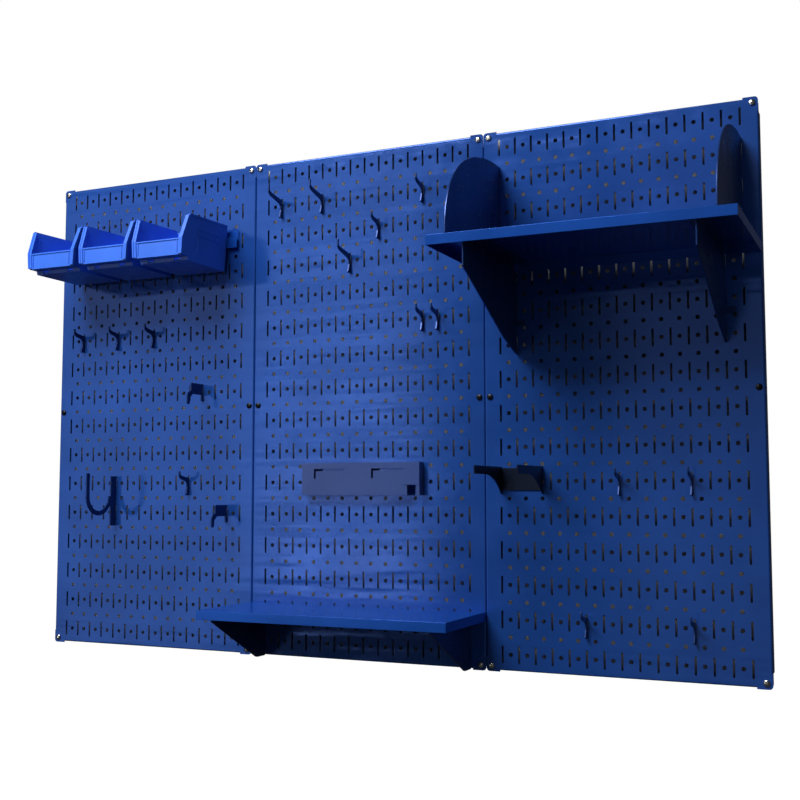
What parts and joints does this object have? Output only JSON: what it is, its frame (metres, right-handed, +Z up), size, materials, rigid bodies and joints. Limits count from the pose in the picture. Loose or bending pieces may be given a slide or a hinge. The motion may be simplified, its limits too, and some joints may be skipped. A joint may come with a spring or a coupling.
{
  "type": "wall tool board",
  "caption": "Wall-mounted slotted steel tool board with hooks, tool holders, open-front plastic bins on a hanger and two bracketed shelves.",
  "frame": {"origin": "on the wall plane, at the back rim of the middle panel's bottom flange, half way along the board", "axes": "+X to the right along the board, +Y from the board into the wall, +Z up"},
  "size_m": [1.2186, 0.2663, 0.8128],
  "materials": {
    "panel_steel": "semi-gloss blue powder coat with light orange peel",
    "shelf_steel": "semi-gloss blue powder coat",
    "bracket_steel": "semi-gloss dark blue powder coat",
    "bin_plastic": "satin moulded blue polypropylene",
    "zinc_screw": "bright zinc plate",
    "black_screw": "black oxide"
  },
  "bodies": {
    "board": {"panel_left": "panel_steel", "panel_middle": "panel_steel", "panel_right": "panel_steel", "screw_left_bottom_left": "zinc_screw", "screw_left_bottom_right": "zinc_screw", "screw_left_middle_left": "black_screw", "screw_left_middle_right": "black_screw", "screw_left_top_left": "zinc_screw", "screw_left_top_right": "zinc_screw", "screw_middle_bottom_left": "zinc_screw", "screw_middle_bottom_right": "zinc_screw", "screw_middle_middle_left": "black_screw", "screw_middle_middle_right": "black_screw", "screw_middle_top_left": "zinc_screw", "screw_middle_top_right": "zinc_screw", "screw_right_bottom_left": "zinc_screw", "screw_right_bottom_right": "zinc_screw", "screw_right_middle_left": "black_screw", "screw_right_middle_right": "black_screw", "screw_right_top_left": "zinc_screw", "screw_right_top_right": "zinc_screw"},
    "bin_hanger": {"bin_hanger": "shelf_steel"},
    "hammer_holder": {"hammer_holder": "bracket_steel"},
    "long_hook_1": {"long_hook_1": "bracket_steel"},
    "long_hook_2": {"long_hook_2": "bracket_steel"},
    "long_hook_3": {"long_hook_3": "bracket_steel"},
    "small_hook_left_1": {"small_hook_left_1": "bracket_steel"},
    "small_hook_left_2": {"small_hook_left_2": "bracket_steel"},
    "small_hook_left_3": {"small_hook_left_3": "bracket_steel"},
    "small_hook_left_4": {"small_hook_left_4": "bracket_steel"},
    "small_hook_middle_1": {"small_hook_middle_1": "bracket_steel"},
    "small_hook_middle_2": {"small_hook_middle_2": "bracket_steel"},
    "small_hook_middle_3": {"small_hook_middle_3": "bracket_steel"},
    "small_hook_middle_4": {"small_hook_middle_4": "bracket_steel"},
    "small_hook_right_1": {"small_hook_right_1": "bracket_steel"},
    "small_hook_right_2": {"small_hook_right_2": "bracket_steel"},
    "small_hook_right_3": {"small_hook_right_3": "bracket_steel"},
    "small_hook_right_4": {"small_hook_right_4": "bracket_steel"},
    "tab_hook_1": {"tab_hook_1": "bracket_steel"},
    "tab_hook_2": {"tab_hook_2": "bracket_steel"},
    "tool_rack": {"tool_rack": "shelf_steel"},
    "u_hook": {"u_hook": "bracket_steel"},
    "bin_1": {"bin_1": "bin_plastic"},
    "bin_2": {"bin_2": "bin_plastic"},
    "bin_3": {"bin_3": "bin_plastic"},
    "upper_shelf": {"upper_shelf": "shelf_steel", "upper_shelf_bracket_left": "bracket_steel", "upper_shelf_bracket_right": "bracket_steel"},
    "lower_shelf": {"lower_shelf": "shelf_steel", "lower_shelf_bracket_left": "bracket_steel", "lower_shelf_bracket_right": "bracket_steel"},
    "shelf_divider_left": {"shelf_divider_left": "bracket_steel"},
    "shelf_divider_right": {"shelf_divider_right": "bracket_steel"}
  },
  "joints": [
    {"name": "bin_hanger_lift", "type": "slide", "parent": "board", "child": "bin_hanger", "axis": [0, 0, 1], "range_m": [0, 0.009]},
    {"name": "hammer_holder_lift", "type": "slide", "parent": "board", "child": "hammer_holder", "axis": [0, 0, 1], "range_m": [0, 0.009]},
    {"name": "long_hook_1_lift", "type": "slide", "parent": "board", "child": "long_hook_1", "axis": [0, 0, 1], "range_m": [0, 0.009]},
    {"name": "long_hook_2_lift", "type": "slide", "parent": "board", "child": "long_hook_2", "axis": [0, 0, 1], "range_m": [0, 0.009]},
    {"name": "long_hook_3_lift", "type": "slide", "parent": "board", "child": "long_hook_3", "axis": [0, 0, 1], "range_m": [0, 0.009]},
    {"name": "small_hook_left_1_lift", "type": "slide", "parent": "board", "child": "small_hook_left_1", "axis": [0, 0, 1], "range_m": [0, 0.009]},
    {"name": "small_hook_left_2_lift", "type": "slide", "parent": "board", "child": "small_hook_left_2", "axis": [0, 0, 1], "range_m": [0, 0.009]},
    {"name": "small_hook_left_3_lift", "type": "slide", "parent": "board", "child": "small_hook_left_3", "axis": [0, 0, 1], "range_m": [0, 0.009]},
    {"name": "small_hook_left_4_lift", "type": "slide", "parent": "board", "child": "small_hook_left_4", "axis": [0, 0, 1], "range_m": [0, 0.009]},
    {"name": "small_hook_middle_1_lift", "type": "slide", "parent": "board", "child": "small_hook_middle_1", "axis": [0, 0, 1], "range_m": [0, 0.009]},
    {"name": "small_hook_middle_2_lift", "type": "slide", "parent": "board", "child": "small_hook_middle_2", "axis": [0, 0, 1], "range_m": [0, 0.009]},
    {"name": "small_hook_middle_3_lift", "type": "slide", "parent": "board", "child": "small_hook_middle_3", "axis": [0, 0, 1], "range_m": [0, 0.009]},
    {"name": "small_hook_middle_4_lift", "type": "slide", "parent": "board", "child": "small_hook_middle_4", "axis": [0, 0, 1], "range_m": [0, 0.009]},
    {"name": "small_hook_right_1_lift", "type": "slide", "parent": "board", "child": "small_hook_right_1", "axis": [0, 0, 1], "range_m": [0, 0.009]},
    {"name": "small_hook_right_2_lift", "type": "slide", "parent": "board", "child": "small_hook_right_2", "axis": [0, 0, 1], "range_m": [0, 0.009]},
    {"name": "small_hook_right_3_lift", "type": "slide", "parent": "board", "child": "small_hook_right_3", "axis": [0, 0, 1], "range_m": [0, 0.009]},
    {"name": "small_hook_right_4_lift", "type": "slide", "parent": "board", "child": "small_hook_right_4", "axis": [0, 0, 1], "range_m": [0, 0.009]},
    {"name": "tab_hook_1_lift", "type": "slide", "parent": "board", "child": "tab_hook_1", "axis": [0, 0, 1], "range_m": [0, 0.009]},
    {"name": "tab_hook_2_lift", "type": "slide", "parent": "board", "child": "tab_hook_2", "axis": [0, 0, 1], "range_m": [0, 0.009]},
    {"name": "tool_rack_lift", "type": "slide", "parent": "board", "child": "tool_rack", "axis": [0, 0, 1], "range_m": [0, 0.009]},
    {"name": "u_hook_lift", "type": "slide", "parent": "board", "child": "u_hook", "axis": [0, 0, 1], "range_m": [0, 0.009]},
    {"name": "bin_1_lift", "type": "slide", "parent": "bin_hanger", "child": "bin_1", "axis": [0, 0, 1], "range_m": [0, 0.03]},
    {"name": "bin_2_lift", "type": "slide", "parent": "bin_hanger", "child": "bin_2", "axis": [0, 0, 1], "range_m": [0, 0.03]},
    {"name": "bin_3_lift", "type": "slide", "parent": "bin_hanger", "child": "bin_3", "axis": [0, 0, 1], "range_m": [0, 0.03]},
    {"name": "upper_shelf_lift", "type": "slide", "parent": "board", "child": "upper_shelf", "axis": [0, 0, 1], "range_m": [0, 0.009]},
    {"name": "lower_shelf_lift", "type": "slide", "parent": "board", "child": "lower_shelf", "axis": [0, 0, 1], "range_m": [0, 0.009]},
    {"name": "shelf_divider_left_lift", "type": "slide", "parent": "upper_shelf", "child": "shelf_divider_left", "axis": [0, 0, 1], "range_m": [0, 0.009]},
    {"name": "shelf_divider_right_lift", "type": "slide", "parent": "upper_shelf", "child": "shelf_divider_right", "axis": [0, 0, 1], "range_m": [0, 0.009]}
  ]
}
